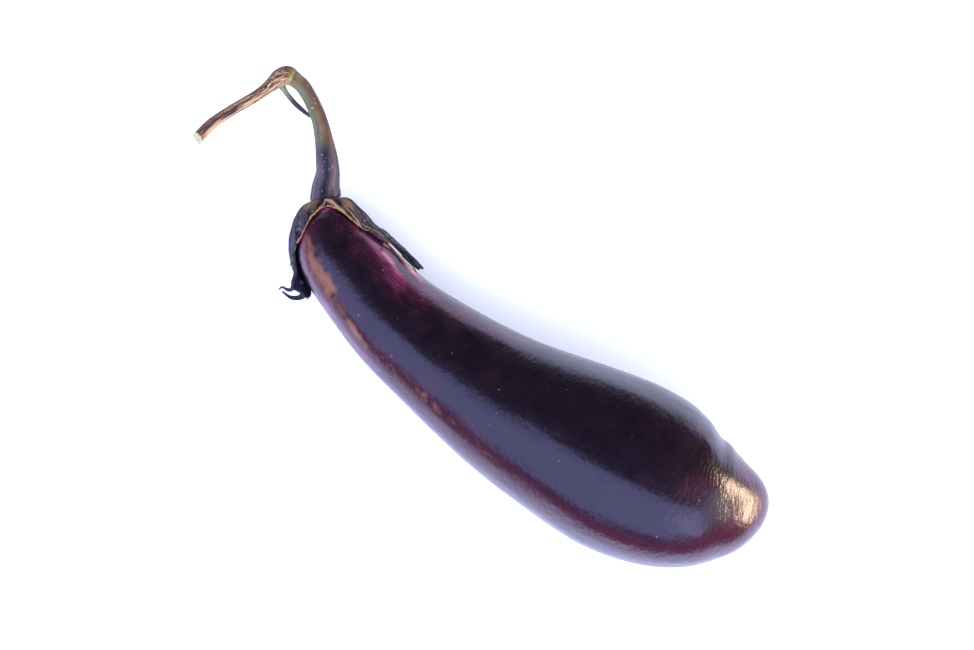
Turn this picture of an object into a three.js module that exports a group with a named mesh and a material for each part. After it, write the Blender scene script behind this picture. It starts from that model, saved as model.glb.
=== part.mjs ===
// A long eggplant lying on its side, with its calyx, its fruit stalk and a cut piece of woody stem.
// Millimetres. +Z is up, the table is z = 0, and +X runs from the calyx towards the blossom end.
// The origin is the middle of the small flat spot that the belly rests on.
import * as THREE from "three";

const UP = new THREE.Vector3(0, 0, 1);
const point = (x, y, z) => new THREE.Vector3(x, y, z);
const outline = (pairs) => new THREE.SplineCurve(pairs.map(([r, s]) => new THREE.Vector2(r, s)));
const { lerp, smoothstep, clamp, degToRad, radToDeg } = THREE.MathUtils;

// ---- driving sizes ----------------------------------------------------------------------------
const GAP = 0.45; // clearance between pieces that grow against each other

// Fruit: the axis bows away from -Y, low at the slim neck and high at the fat belly.
const FRUIT_AXIS = new THREE.CatmullRomCurve3([
  point(-141.8, 19.4, 15.5),
  point(-129.2, 8.2, 16.3),
  point(-112.8, 2.3, 18.2),
  point(-95.6, -1.9, 20.3),
  point(-78.0, -3.6, 22.6),
  point(-43.0, -4.5, 27.8),
  point(-9.0, -1.2, 31.8),
  point(9.0, 1.2, 32.3),
  point(26.0, 4.4, 32.3),
  point(42.5, 10.3, 31.8),
  point(57.5, 19.8, 31.0),
]);
// Radius and distance along the axis, from the stalk end to the blossom end.
const FRUIT_OUTLINE = outline([
  [0, 0], [6.6, 1.4], [10.2, 4.1], [13.2, 8.6], [15.4, 16.6], [16.8, 26], [17.6, 35], [19.3, 52],
  [22.4, 78.5], [28.6, 118], [32.2, 143], [32.8, 157], [31.1, 171], [26.9, 184], [21.5, 193],
  [15.6, 201], [8.2, 207.7], [4.4, 209.8], [0, 210.8],
]);
const FRUIT_ROWS = 54;
const FRUIT_COLUMNS = 56;
// A crease on the +Y side sets off a rounded nub at the blossom end.
const CREASE_AT = 187;
const CREASE_DEPTH = 2.1;
const CREASE_BEFORE = 6; // how far it runs out towards the belly
const CREASE_AFTER = 4; // and towards the tip
const CREASE_ANGLE = -80; // degrees from the top, negative on the +Y side

// Calyx: a cap draped over the shoulder. Each rim station is [angle from the top in degrees,
// reach from the pole over the skin, lift off the skin]. The lobe at the top has torn away.
const CALYX_RIM = [
  [-180, 20, 0], [-166, 24, 0.2], [-151, 35, 0.5], [-138, 29, 0.4], [-126, 24, 0.4],
  [-114, 31, 1.5], [-103, 43, 2], [-96, 53, 1.5], [-90, 49.5, 1.5], [-84, 53, 0.4],
  [-80, 44, 1.1], [-74, 38.5, 0.9], [-65, 36, 0.3], [-57, 28, 0.2], [-48, 21.5, 0.2],
  [-37, 16, 0.1], [-25, 11, 0.1], [-10, 8.2, 0], [6, 7.9, 0], [20, 9.8, 0], [33, 13.2, 0.1],
  [44, 17.5, 0.1], [57, 20.2, 0.2], [71, 22, 0.3], [81, 25, 0.6], [88, 28, 0.9], [95, 30, 1.2],
  [102, 33, 2.4], [112, 32, 1.6], [125, 25, 0.6], [139, 28, 0.4], [151, 33, 0.5],
  [166, 24, 0.2], [180, 20, 0],
];
const CALYX_COLUMNS = 3 * (CALYX_RIM.length - 1);
const CALYX_ROWS = 12;
const CURL_ANGLE = 93; // the -Y lobe curls away from the skin at its tip
const CURL_WIDTH = 7;
const CURL_HEIGHT = 8.4;
const CROWN_THICKNESS = 2.6; // under the stalk
const CROWN_LEAN = 0.6; // thicker by this on the -Y side
const LOBE_THICKNESS = 1.1;
const CROWN_RADIUS = 6; // the crown keeps its thickness this far out
const CROWN_FADE = 17; // and has thinned to a lobe here

// Fruit stalk, from its cupped base on the crown to the knuckle.
const STALK_AXIS = new THREE.CatmullRomCurve3([
  point(-144.4, 22.6, 15.4),
  point(-145.8, 24.9, 16.0),
  point(-148.0, 29.8, 17.6),
  point(-151.9, 34.9, 19.4),
  point(-156.8, 40.4, 21.4),
  point(-162.3, 45.4, 23.1),
  point(-169.2, 49.7, 24.5),
  point(-173.4, 51.4, 25.1),
  point(-176.9, 51.8, 25.4),
]);
const STALK_OUTLINE = outline([
  [6, 0], [5.2, 4.5], [4.6, 9.5], [4.3, 14], [3.4, 22], [2.95, 30], [2.75, 38], [3, 46.6],
]);
const STALK_CUP = 0.4;
const BASE_SLANT = 0.16; // the crown it stands on is not square to it
const BASE_REACH = 7;
const STALK_ROWS = 16;
const STALK_COLUMNS = 24;

// Woody stem: the swollen knuckle, then a bare stem to the slanted cut.
const STEM_AXIS = new THREE.CatmullRomCurve3([
  point(-177.5, 51.8, 25.5),
  point(-180.0, 51.5, 25.6),
  point(-181.8, 49.4, 25.6),
  point(-182.9, 45.6, 25.5),
  point(-185.2, 39.2, 25.1),
  point(-189.8, 29.9, 24.2),
  point(-193.8, 20.4, 23.2),
  point(-195.6, 10.8, 22.4),
]);
const STEM_OUTLINE = outline([
  [2.8, 0], [3.3, 0.9], [3.45, 3], [3.15, 6], [2.5, 10], [2.1, 14], [1.95, 27], [2.15, 45.6],
]);
const STEM_ROWS = 18;
const STEM_COLUMNS = 24;
const CUT_SLANT = -0.25; // rise of the cut across the stem
const CUT_REACH = 4; // length of stem that leans into the cut

// Side stalk: a dry flower stalk that leaves the knuckle and passes under the fruit stalk.
const SIDE_AXIS = new THREE.CatmullRomCurve3([
  point(-179.0, 46.8, 24.0),
  point(-175.8, 45.5, 22.2),
  point(-171.1, 44.3, 20.6),
  point(-166.2, 43.9, 18.6),
  point(-163.4, 44.1, 17.2),
]);
const SIDE_OUTLINE = outline([[1.35, 0], [0.98, 2.2], [0.95, 9], [0.7, 14.6]]);
const SIDE_ROWS = 10;
const SIDE_COLUMNS = 12;

// ---- growing along an axis --------------------------------------------------------------------
// The frame at a distance along an axis: `across` points to -Y where the axis runs to +X.
function frameAt(axis, along) {
  const length = axis.getLength();
  const u = clamp(along / length, 0, 1);
  const ahead = axis.getTangentAt(u);
  const origin = axis.getPointAt(u).addScaledVector(ahead, along - u * length);
  const across = new THREE.Vector3().crossVectors(ahead, UP).normalize();
  const lift = new THREE.Vector3().crossVectors(across, ahead);
  return { origin, ahead, across, lift };
}

function place({ origin, across, lift }, radius, angle) {
  return origin
    .clone()
    .addScaledVector(across, radius * Math.sin(angle))
    .addScaledVector(lift, radius * Math.cos(angle));
}

// Moves every vertex of a lathed blank. The shaper gets the blank's radius, height and angle.
function reshape(geometry, shaper) {
  const at = geometry.getAttribute("position");
  for (let i = 0; i < at.count; i++) {
    const radius = Math.hypot(at.getX(i), at.getZ(i));
    const angle = Math.atan2(at.getX(i), at.getZ(i));
    const p = shaper(radius, at.getY(i), angle);
    at.setXYZ(i, p.x, p.y, p.z);
  }
  geometry.computeVertexNormals();
  return geometry;
}

function piece(name, geometry, color, roughness) {
  const mesh = new THREE.Mesh(
    geometry,
    new THREE.MeshStandardMaterial({ color, roughness, metalness: 0 }),
  );
  mesh.name = name;
  return mesh;
}

// ---- fruit ------------------------------------------------------------------------------------
function crease(along, angle) {
  const run = along < CREASE_AT ? CREASE_BEFORE : CREASE_AFTER;
  const off = (along - CREASE_AT) / run;
  const around = Math.max(0, Math.cos((angle - degToRad(CREASE_ANGLE)) / 1.6));
  return CREASE_DEPTH * Math.exp(-off * off) * around ** 4;
}

function makeFruit() {
  const blank = new THREE.LatheGeometry(FRUIT_OUTLINE.getPoints(FRUIT_ROWS), FRUIT_COLUMNS);
  return reshape(blank, (radius, along, angle) => {
    const dent = Math.min(crease(along, angle), radius);
    const p = place(frameAt(FRUIT_AXIS, along), radius - dent, angle);
    p.z = Math.max(p.z, 0); // the flat spot
    return p;
  });
}

// ---- calyx ------------------------------------------------------------------------------------
const RIM = new THREE.CatmullRomCurve3(CALYX_RIM.map((station) => point(...station)));

// A point of the skin at a distance from the pole, with the outward normal in (radius, along).
function skinAt(reach) {
  const u = clamp(reach / FRUIT_OUTLINE.getLength(), 0, 1);
  const p = FRUIT_OUTLINE.getPointAt(u);
  const t = FRUIT_OUTLINE.getTangentAt(u);
  return { radius: p.x, along: p.y, nRadius: t.y, nAlong: -t.x };
}

// The blank is a flat disc: its radius runs to 1 at the rim, and height 0 or 1 is the wall.
function makeCalyx() {
  const steps = Array.from({ length: CALYX_ROWS + 1 }, (_, i) => i / CALYX_ROWS);
  const outer = steps.map((r) => new THREE.Vector2(r, 1));
  const inner = steps.map((r) => new THREE.Vector2(r, 0)).reverse();
  const blank = new THREE.LatheGeometry([...outer, ...inner], CALYX_COLUMNS, -Math.PI);
  return reshape(blank, (r, wall, angle) => {
    const rim = RIM.getPoint(clamp(0.5 + angle / (2 * Math.PI), 0, 1));
    const turned = lerp(radToDeg(angle), rim.x, r);
    const reach = rim.y * r;
    const skin = skinAt(reach);
    const thinning = smoothstep(reach, CROWN_RADIUS, CROWN_FADE);
    const lean = CROWN_LEAN * Math.sin(degToRad(turned)) * smoothstep(reach, 1, CROWN_RADIUS);
    const thickness = lerp(CROWN_THICKNESS + lean, LOBE_THICKNESS, thinning);
    const curl = CURL_HEIGHT * r ** 18 * Math.exp(-(((rim.x - CURL_ANGLE) / CURL_WIDTH) ** 2));
    const off = GAP + rim.z * smoothstep(r, 0.15, 0.65) + curl + wall * thickness;
    const frame = frameAt(FRUIT_AXIS, skin.along + off * skin.nAlong);
    const p = place(frame, skin.radius + off * skin.nRadius, degToRad(turned));
    p.z = Math.max(p.z, wall ? 0 : 0.5 * LOBE_THICKNESS); // pressed flat by the table
    return p;
  });
}

// ---- stalks and stem --------------------------------------------------------------------------
function makeStalk() {
  const wall = STALK_OUTLINE.getSpacedPoints(STALK_ROWS);
  const end = wall[wall.length - 1];
  wall[0].y = -STALK_CUP;
  const blank = new THREE.LatheGeometry(
    [new THREE.Vector2(0, 0), new THREE.Vector2(3.5, -0.4), ...wall, new THREE.Vector2(0, end.y)],
    STALK_COLUMNS,
  );
  return reshape(blank, (r, along, angle) => {
    const lean = BASE_SLANT * r * Math.sin(angle) * (1 - smoothstep(along, 0, BASE_REACH));
    return place(frameAt(STALK_AXIS, along + lean), r, angle);
  });
}

function makeStem() {
  const wall = STEM_OUTLINE.getSpacedPoints(STEM_ROWS);
  const cut = wall[wall.length - 1].y;
  const blank = new THREE.LatheGeometry(
    [new THREE.Vector2(0, 0), ...wall, new THREE.Vector2(0, cut)],
    STEM_COLUMNS,
  );
  return reshape(blank, (r, along, angle) => {
    const lean = CUT_SLANT * r * Math.sin(angle) * smoothstep(along, cut - CUT_REACH, cut);
    return place(frameAt(STEM_AXIS, along + lean), r, angle);
  });
}

function makeSideStalk() {
  const wall = SIDE_OUTLINE.getSpacedPoints(SIDE_ROWS);
  const tip = wall[wall.length - 1].y;
  const blank = new THREE.LatheGeometry(
    [new THREE.Vector2(0, 0), ...wall, new THREE.Vector2(0, tip)],
    SIDE_COLUMNS,
  );
  return reshape(blank, (r, along, angle) => place(frameAt(SIDE_AXIS, along), r, angle));
}

const eggplant = new THREE.Group();
eggplant.name = "eggplant";
eggplant.add(
  piece("fruit", makeFruit(), "#2a1222", 0.28),
  piece("calyx", makeCalyx(), "#33293a", 0.75),
  piece("fruit_stalk", makeStalk(), "#4a3a48", 0.6),
  piece("woody_stem", makeStem(), "#b08258", 0.8),
  piece("side_stalk", makeSideStalk(), "#4b5440", 0.65),
);
export default eggplant;
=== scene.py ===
"""Looks of a long eggplant with its calyx, fruit stalk and a cut piece of woody stem.

Every piece grows along the same axes as the CAD part, so it fills the space of the node it stands
for. Sizes are in millimetres in the dataclass fields and turn to metres when a mesh is finished.
"""

import logging
import math
from dataclasses import dataclass
from enum import Enum

import bmesh
import bpy
import numpy as np
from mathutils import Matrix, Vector, noise


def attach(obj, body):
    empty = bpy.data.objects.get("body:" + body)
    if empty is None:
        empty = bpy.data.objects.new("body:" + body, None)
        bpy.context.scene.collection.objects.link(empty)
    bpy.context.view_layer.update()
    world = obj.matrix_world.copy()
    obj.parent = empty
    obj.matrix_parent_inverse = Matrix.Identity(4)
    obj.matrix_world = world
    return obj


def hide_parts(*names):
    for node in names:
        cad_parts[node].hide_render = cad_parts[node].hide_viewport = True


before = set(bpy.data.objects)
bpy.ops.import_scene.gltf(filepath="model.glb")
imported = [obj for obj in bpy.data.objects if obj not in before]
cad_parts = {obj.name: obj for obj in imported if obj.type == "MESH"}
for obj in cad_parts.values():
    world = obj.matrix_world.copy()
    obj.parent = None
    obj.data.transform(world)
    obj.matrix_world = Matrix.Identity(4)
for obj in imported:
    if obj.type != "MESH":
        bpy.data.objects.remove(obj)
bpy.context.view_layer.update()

log = logging.getLogger("eggplant")

Array = np.ndarray
Station = tuple[float, float]
Place = tuple[float, float, float]

MM = 0.001
UP = np.array([0.0, 0.0, 1.0])
BODY = "root"


class Slot(Enum):
    """The part's material slots."""

    FRUIT_SKIN = "fruit_skin"
    CALYX_SKIN = "calyx_skin"
    GREEN_STALK = "green_stalk"
    STEM_BARK = "stem_bark"
    DRY_STALK = "dry_stalk"


# ---- small tools ----
def smoothstep(x: Array, low: float, high: float) -> Array:
    """Eases values from 0 at low to 1 at high."""
    t = np.clip((x - low) / (high - low), 0.0, 1.0)
    return t * t * (3.0 - 2.0 * t)


def bell(x: Array, middle: float, width: float) -> Array:
    """A smooth hump: 1 at the middle, about a third at a width from it."""
    return np.exp(-(((x - middle) / width) ** 2))


def fractal(points: Array, size: float, octaves: int = 3, seed: float = 0.0) -> Array:
    """Uneven growth, about -1 to 1, at points in mm; its largest feature has the given size."""
    shift = Vector((seed, -seed, 2.0 * seed))
    return np.array(
        [noise.fractal(Vector(p) / size + shift, 1.0, 2.0, octaves) for p in points]
    )


def unbent(radius: Array | float, angle: Array, along: Array) -> Array:
    """Places on a straightened growth, for patterns that follow it."""
    return np.stack([radius * np.sin(angle), radius * np.cos(angle), along], axis=-1)


def linear(colour: str) -> tuple[float, float, float, float]:
    """Turns an sRGB hex colour to linear red, green, blue and an alpha of 1."""
    parts = (int(colour[i : i + 2], 16) / 255 for i in (1, 3, 5))
    red, green, blue = (
        c / 12.92 if c <= 0.04045 else ((c + 0.055) / 1.055) ** 2.4 for c in parts
    )
    return red, green, blue, 1.0


# ---- growth lines ----
class Axis:
    """A smooth line through points in space, read by its distance or by its parameter."""

    STEPS = 60  # samples in each span
    SHORTEST = 1e-4

    def __init__(self, points: tuple[Place, ...]) -> None:
        """Samples the line.

        Args:
            points: The points that it passes through, in millimetres.
        """
        p = np.array(points, float)
        p = np.vstack([2 * p[0] - p[1], p, 2 * p[-1] - p[-2]])
        share = np.arange(self.STEPS)[:, None] / self.STEPS
        spans = [self._span(*p[i : i + 4], share) for i in range(len(p) - 3)]
        self.line = np.vstack([*spans, p[-2]])
        self.parameter = np.linspace(0.0, 1.0, len(self.line))
        steps = np.linalg.norm(np.diff(self.line, axis=0), axis=1)
        self.distance = np.concatenate([[0.0], np.cumsum(steps)])
        self.length = float(self.distance[-1])
        self.heading = np.gradient(self.line, self.distance, axis=0)

    @classmethod
    def _span(cls, p0: Array, p1: Array, p2: Array, p3: Array, t: Array) -> Array:
        """One centripetal Catmull-Rom span.

        Args:
            p0: The point before the span.
            p1: The span's first point.
            p2: The span's last point.
            p3: The point after the span.
            t: Shares of the span, as a column.

        Returns:
            A point for each share.
        """
        d0, d1, d2 = (
            max(float(np.linalg.norm(b - a)) ** 0.5, cls.SHORTEST)
            for a, b in ((p0, p1), (p1, p2), (p2, p3))
        )
        m1 = ((p1 - p0) / d0 - (p2 - p0) / (d0 + d1) + (p2 - p1) / d1) * d1
        m2 = ((p2 - p1) / d1 - (p3 - p1) / (d1 + d2) + (p3 - p2) / d2) * d1
        return (
            p1
            + m1 * t
            + (3 * (p2 - p1) - 2 * m1 - m2) * t**2
            + (2 * (p1 - p2) + m1 + m2) * t**3
        )

    def at_parameter(self, t: Array) -> Array:
        """Points at shares of the stations, from 0 to 1."""
        return np.stack([np.interp(t, self.parameter, c) for c in self.line.T], axis=-1)

    def frames(self, along: Array) -> tuple[Array, Array, Array]:
        """The line's frames at distances along it, carried on straight past its ends.

        Args:
            along: Distances in millimetres.

        Returns:
            The origins, the sideways directions and the upward directions.
        """
        at = np.clip(along, 0.0, self.length)
        origin = np.stack([np.interp(at, self.distance, c) for c in self.line.T], axis=-1)
        ahead = np.stack([np.interp(at, self.distance, c) for c in self.heading.T], axis=-1)
        ahead /= np.linalg.norm(ahead, axis=1)[:, None]
        origin = origin + ahead * (along - at)[:, None]
        across = np.cross(ahead, UP)
        across /= np.linalg.norm(across, axis=1)[:, None]
        return origin, across, np.cross(across, ahead)

    def place(self, along: Array, radius: Array, angle: Array) -> Array:
        """Points round the line.

        Args:
            along: Distances along the line.
            radius: Distances from the line.
            angle: Turns from straight up, in radians.

        Returns:
            One point for each row.
        """
        origin, across, lift = self.frames(along)
        side = (radius * np.sin(angle))[:, None]
        rise = (radius * np.cos(angle))[:, None]
        return origin + side * across + rise * lift


class Outline:
    """The half outline of a turned shape: radius against distance along its axis."""

    STEPS = 60

    def __init__(self, stations: tuple[Station, ...]) -> None:
        """Samples the outline as one smooth line.

        Args:
            stations: Radius and distance along the axis, in millimetres.
        """
        p = np.array(stations, float)
        last = len(p) - 1
        t = np.arange(self.STEPS)[:, None] / self.STEPS
        spans = []
        for i in range(last):
            v0 = (p[i + 1] - p[max(i - 1, 0)]) / 2
            v1 = (p[min(i + 2, last)] - p[i]) / 2
            step = p[i + 1] - p[i]
            cubic = (v0 + v1 - 2 * step) * t**3 + (3 * step - 2 * v0 - v1) * t**2
            spans.append(p[i] + v0 * t + cubic)
        line = np.vstack([*spans, p[-1]])
        self.radius, self.along = line.T
        steps = np.linalg.norm(np.diff(line, axis=0), axis=1)
        self.reach = np.concatenate([[0.0], np.cumsum(steps)])
        self.length = float(self.reach[-1])
        slope = np.gradient(line, self.reach, axis=0)
        self.out_radius, self.out_along = slope[:, 1], -slope[:, 0]

    def at(self, reach: Array) -> tuple[Array, Array]:
        """Radius and distance along the axis at distances over the surface."""
        return (
            np.interp(reach, self.reach, self.radius),
            np.interp(reach, self.reach, self.along),
        )

    def outward(self, reach: Array) -> tuple[Array, Array]:
        """The surface's outward direction, in radius and along, at distances over it."""
        return (
            np.interp(reach, self.reach, self.out_radius),
            np.interp(reach, self.reach, self.out_along),
        )

    def wall(self, rows: int) -> Array:
        """Evenly spaced rows of radius and along from one end to the other."""
        return np.stack(self.at(np.linspace(0.0, self.length, rows + 1)), axis=-1)


@dataclass(frozen=True)
class Stroke:
    """A soft-edged brush stroke over a grown surface, for colour or for relief."""

    path: tuple[Station, ...]  # distance along in mm, angle from the top in degrees
    width: float
    strength: float

    def on(self, along: Array, angle: Array, radius: Array) -> Array:
        """How strongly the stroke covers each point.

        Args:
            along: Distances along the axis in millimetres.
            angle: Angles from the top in radians.
            radius: Radii in millimetres, which turn angles to lengths.

        Returns:
            The cover, from 0 to the stroke's strength.
        """
        nearest = np.full(len(along), np.inf)
        stops = self.path if len(self.path) > 1 else (self.path[0], self.path[0])
        for (s0, a0), (s1, a1) in zip(stops, stops[1:]):
            u0, v0 = along - s0, (angle - math.radians(a0)) * radius
            du, dv = s1 - s0, math.radians(a1 - a0) * radius
            share = (u0 * du + v0 * dv) / np.maximum(du * du + dv * dv, 1e-9)
            share = np.clip(share, 0.0, 1.0)
            nearest = np.minimum(nearest, np.hypot(u0 - share * du, v0 - share * dv))
        return self.strength * np.exp(-((nearest / self.width) ** 2))


def brushed(strokes: tuple[Stroke, ...], along: Array, angle: Array, radius: Array) -> Array:
    """The cover of several strokes over one another; the strongest shows."""
    return np.max([stroke.on(along, angle, radius) for stroke in strokes], axis=0)


# ---- meshes ----
class Body:
    """One bmesh that shapes are turned into, and that becomes one finished piece."""

    MERGE = 2e-6

    def __init__(self, *marks: str) -> None:
        """Starts an empty mesh.

        Args:
            marks: Names of the numbers that its vertices carry for the material.
        """
        self.bm = bmesh.new()
        layers = self.bm.verts.layers
        layers.float_vector.new("grain")
        for name in marks:
            layers.float.new(name)

    def roll(self, columns: int, rows: int) -> tuple[list, Array, Array]:
        """Cuts a flat sheet that is rolled up when its vertices move, seam on the underside.

        Args:
            columns: Faces round the tube.
            rows: Faces along the tube.

        Returns:
            The new vertices, each one's row number and each one's angle from the top.
        """
        sheet = bmesh.ops.create_grid(self.bm, x_segments=columns, y_segments=rows, size=1.0)
        verts = sheet["verts"]
        co = np.array([v.co[:] for v in verts])
        return verts, (co[:, 1] + 1.0) / 2.0 * rows, co[:, 0] * math.pi

    def shape(self, verts: list, points: Array) -> None:
        """Moves a blank's vertices to their places, given in millimetres."""
        for vert, point in zip(verts, points * MM):
            vert.co = point

    def mark(self, verts: list, name: str, values: Array) -> None:
        """Stores one number on each vertex for a material to read."""
        layer = self.bm.verts.layers.float[name]
        for vert, value in zip(verts, values):
            vert[layer] = value

    def lay_grain(self, verts: list, along: Array, angle: Array, radius: Array) -> None:
        """Stores the straightened place of each vertex, in metres, so grain follows growth.

        Args:
            verts: The vertices.
            along: Distances along the axis in millimetres, which become Z.
            angle: Angles from the top in radians.
            radius: Radii in millimetres.
        """
        layer = self.bm.verts.layers.float_vector["grain"]
        for vert, place in zip(verts, unbent(radius, angle, along) * MM):
            vert[layer] = place

    def finish(
        self, name: str, materials: list[bpy.types.Material], slot: Slot, node: str | None
    ) -> bpy.types.Object:
        """Closes the poles, makes the object and hands it to the part.

        Args:
            name: The piece's name.
            materials: Its materials, in the order of the face indices.
            slot: The material slot that it stands for; only named in the log.
            node: The CAD node it stands for, if any.

        Returns:
            The finished object.
        """
        bmesh.ops.remove_doubles(self.bm, verts=self.bm.verts[:], dist=self.MERGE)
        bmesh.ops.recalc_face_normals(self.bm, faces=self.bm.faces[:])
        for face in self.bm.faces:
            face.smooth = True
        mesh = bpy.data.meshes.new(name)
        self.bm.to_mesh(mesh)
        self.bm.free()
        for material in materials:
            mesh.materials.append(material)
        piece = bpy.data.objects.new(name, mesh)
        bpy.context.scene.collection.objects.link(piece)
        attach(piece, BODY)
        if node:
            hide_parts(node)
        log.info("%s: %d faces, slot %s", name, len(mesh.polygons), slot.value)
        return piece


def capped(wall: Array, dish: float = 0.0, rings: int = 4) -> Array:
    """Adds flat or dished ends to a wall, each a few rings from the rim to the middle.

    Args:
        wall: Rows of radius and along.
        dish: How far the first end's middle stands in front of its rim.
        rings: Rings on each end.

    Returns:
        The rows from the middle of one end to the middle of the other.
    """
    share = np.linspace(0.0, 1.0, rings, endpoint=False)
    (r0, s0), (r1, s1) = wall[0], wall[-1]
    first = np.stack([r0 * share, s0 + dish * (1.0 - share**2)], axis=-1)
    last = np.stack([r1 * share[::-1], np.full(rings, s1)], axis=-1)
    return np.vstack([first, wall, last])


def read_rows(rows: Array, at: Array) -> tuple[Array, Array]:
    """Radius and along of a profile's rows at row numbers."""
    numbers = np.arange(len(rows))
    return np.interp(at, numbers, rows[:, 0]), np.interp(at, numbers, rows[:, 1])


# ---- finishes ----
Socket = bpy.types.NodeSocket

PER_MM = 1000.0  # pattern scales are features per metre
IOR_WAX = 1.45
FROM_MIN, FROM_MAX, TO_MIN, TO_MAX = 1, 2, 3, 4  # inputs of a map range
MIX_MASK, MIX_UNDER, MIX_OVER, MIX_COLOUR = 0, 6, 7, 2  # inputs and output of a colour mix


@dataclass(frozen=True)
class Edge:
    """How a painted mask breaks up along its edge."""

    wander: float  # how far the pattern moves the edge
    low: float  # moved mask that becomes 0
    high: float  # moved mask that becomes 1


class NodeSheet:
    """The node tree of one material."""

    def __init__(self, name: str) -> None:
        """Starts a material with an empty tree.

        Args:
            name: What the real material is and how its surface was made.
        """
        self.material = bpy.data.materials.new(name)
        self.material.use_nodes = True
        self.tree = self.material.node_tree
        self.tree.nodes.clear()

    def add(
        self,
        kind: str,
        settings: dict | None = None,
        inputs: dict | None = None,
        out: int | str = 0,
    ) -> Socket | None:
        """Adds a node with its settings and links.

        Args:
            kind: The node's type, without the words ShaderNode.
            settings: Properties of the node.
            inputs: Input names or numbers, each with a value or the socket that feeds it.
            out: Name or number of the output that is wanted.

        Returns:
            The wanted output, or None for a node without outputs.
        """
        node = self.tree.nodes.new("ShaderNode" + kind)
        for name, value in (settings or {}).items():
            setattr(node, name, value)
        for name, value in (inputs or {}).items():
            socket = node.inputs[name]
            if isinstance(value, bpy.types.NodeSocket):
                self.tree.links.new(value, socket)
            else:
                socket.default_value = value
        return node.outputs[out] if len(node.outputs) else None

    def painted(self, *names: str) -> list[Socket]:
        """Reads the grain, then the named marks that the vertices carry."""
        kinds = [("grain", "Vector"), *((name, "Fac") for name in names)]
        return [self.add("Attribute", {"attribute_name": n}, None, out) for n, out in kinds]

    def pattern(
        self, place: Socket, size_mm: float, detail: float, stretch: tuple | None = None
    ) -> Socket:
        """Uneven growth with features of a real size.

        Args:
            place: Where it is read, in metres.
            size_mm: Width of the largest feature.
            detail: How many finer layers are added.
            stretch: Scale along each direction of the grain, if not even.

        Returns:
            The pattern, from 0 to 1.
        """
        if stretch:
            place = self.add("Mapping", None, {"Vector": place, "Scale": stretch})
        sizes = {"Vector": place, "Scale": PER_MM / size_mm, "Detail": detail}
        return self.add("TexNoise", None, sizes)

    def specks(self, place: Socket, apart_mm: float, rim: float, core: float) -> Socket:
        """Small round dots.

        Args:
            place: Where they are read, in metres.
            apart_mm: Distance between dots.
            rim: Distance from a dot's middle where it starts, as a share.
            core: Distance inside which it is full.

        Returns:
            The mask of the dots.
        """
        sizes = {"Vector": place, "Scale": PER_MM / apart_mm}
        near = self.add("TexVoronoi", None, sizes, "Distance")
        return self.add("MapRange", None, {0: near, FROM_MIN: rim, FROM_MAX: core})

    def maths(self, operation: str, *values: Socket | float) -> Socket:
        """Combines values with an operation."""
        return self.add("Math", {"operation": operation}, dict(enumerate(values)))

    def worn(self, mask: Socket, pattern: Socket, edge: Edge) -> Socket:
        """Breaks up the edge of a painted mask with a growth pattern."""
        moved = self.maths("MULTIPLY_ADD", pattern, edge.wander, mask)
        span = {0: moved, FROM_MIN: edge.low, FROM_MAX: edge.high}
        return self.add("MapRange", {"interpolation_type": "SMOOTHSTEP"}, span)

    def spread(self, value: Socket, ends: tuple[float, float]) -> Socket:
        """Spreads a pattern over a range, such as roughness."""
        return self.add("MapRange", None, {0: value, TO_MIN: ends[0], TO_MAX: ends[1]})

    def coats(self, ground: Socket | str, *coats: tuple[Socket, Socket | str]) -> Socket:
        """Lays colours over one another.

        Args:
            ground: The lowest colour, as a socket or an sRGB hex colour.
            coats: Masks, each with the colour that shows where the mask is on.

        Returns:
            The colour that shows.
        """
        shown = linear(ground) if isinstance(ground, str) else ground
        for mask, colour in coats:
            over = linear(colour) if isinstance(colour, str) else colour
            inputs = {MIX_MASK: mask, MIX_UNDER: shown, MIX_OVER: over}
            shown = self.add("Mix", {"data_type": "RGBA"}, inputs, MIX_COLOUR)
        return shown

    def relief(self, *steps: tuple[Socket, float]) -> Socket:
        """Stacks fine reliefs.

        Args:
            steps: Heights, each with the millimetres that it stands for.

        Returns:
            The surface's direction.
        """
        lean: dict = {}
        for height, depth_mm in steps:
            inputs = {"Strength": 1.0, "Distance": depth_mm * MM, "Height": height, **lean}
            lean = {"Normal": self.add("Bump", None, inputs)}
        return lean["Normal"]

    def ramp(self, value: Socket, stops: list[tuple[float, str]]) -> Socket:
        """Turns a value to a colour.

        Args:
            value: The socket with the value.
            stops: Positions from 0 to 1, each with an sRGB hex colour.

        Returns:
            The colour socket.
        """
        colour = self.add("ValToRGB", None, {0: value})
        elements = colour.node.color_ramp.elements
        while len(elements) < len(stops):
            elements.new(1.0)
        for element, (position, shade) in zip(elements, stops):
            element.position = position
            element.color = linear(shade)
        return colour

    def close(
        self, colour: Socket, rough: Socket, lean: Socket, more: dict | None = None
    ) -> bpy.types.Material:
        """Adds the surface shader and the output.

        Args:
            colour: The surface's colour.
            rough: Its roughness.
            lean: Its direction after the fine reliefs.
            more: Further input names of the surface shader, each with a value.

        Returns:
            The finished material.
        """
        inputs = {"Base Color": colour, "Roughness": rough, "IOR": IOR_WAX, "Normal": lean}
        surface = self.add("BsdfPrincipled", None, {**inputs, **(more or {})})
        self.add("OutputMaterial", None, {"Surface": surface})
        return self.material


def bloomed(finish: "CalyxSkin | StalkSkin") -> dict:
    """The pale bloom that shows at the edges of a finish."""
    return {
        "Sheen Weight": finish.sheen,
        "Sheen Roughness": finish.sheen_rough,
        "Sheen Tint": linear(finish.bloom),
    }


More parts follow.
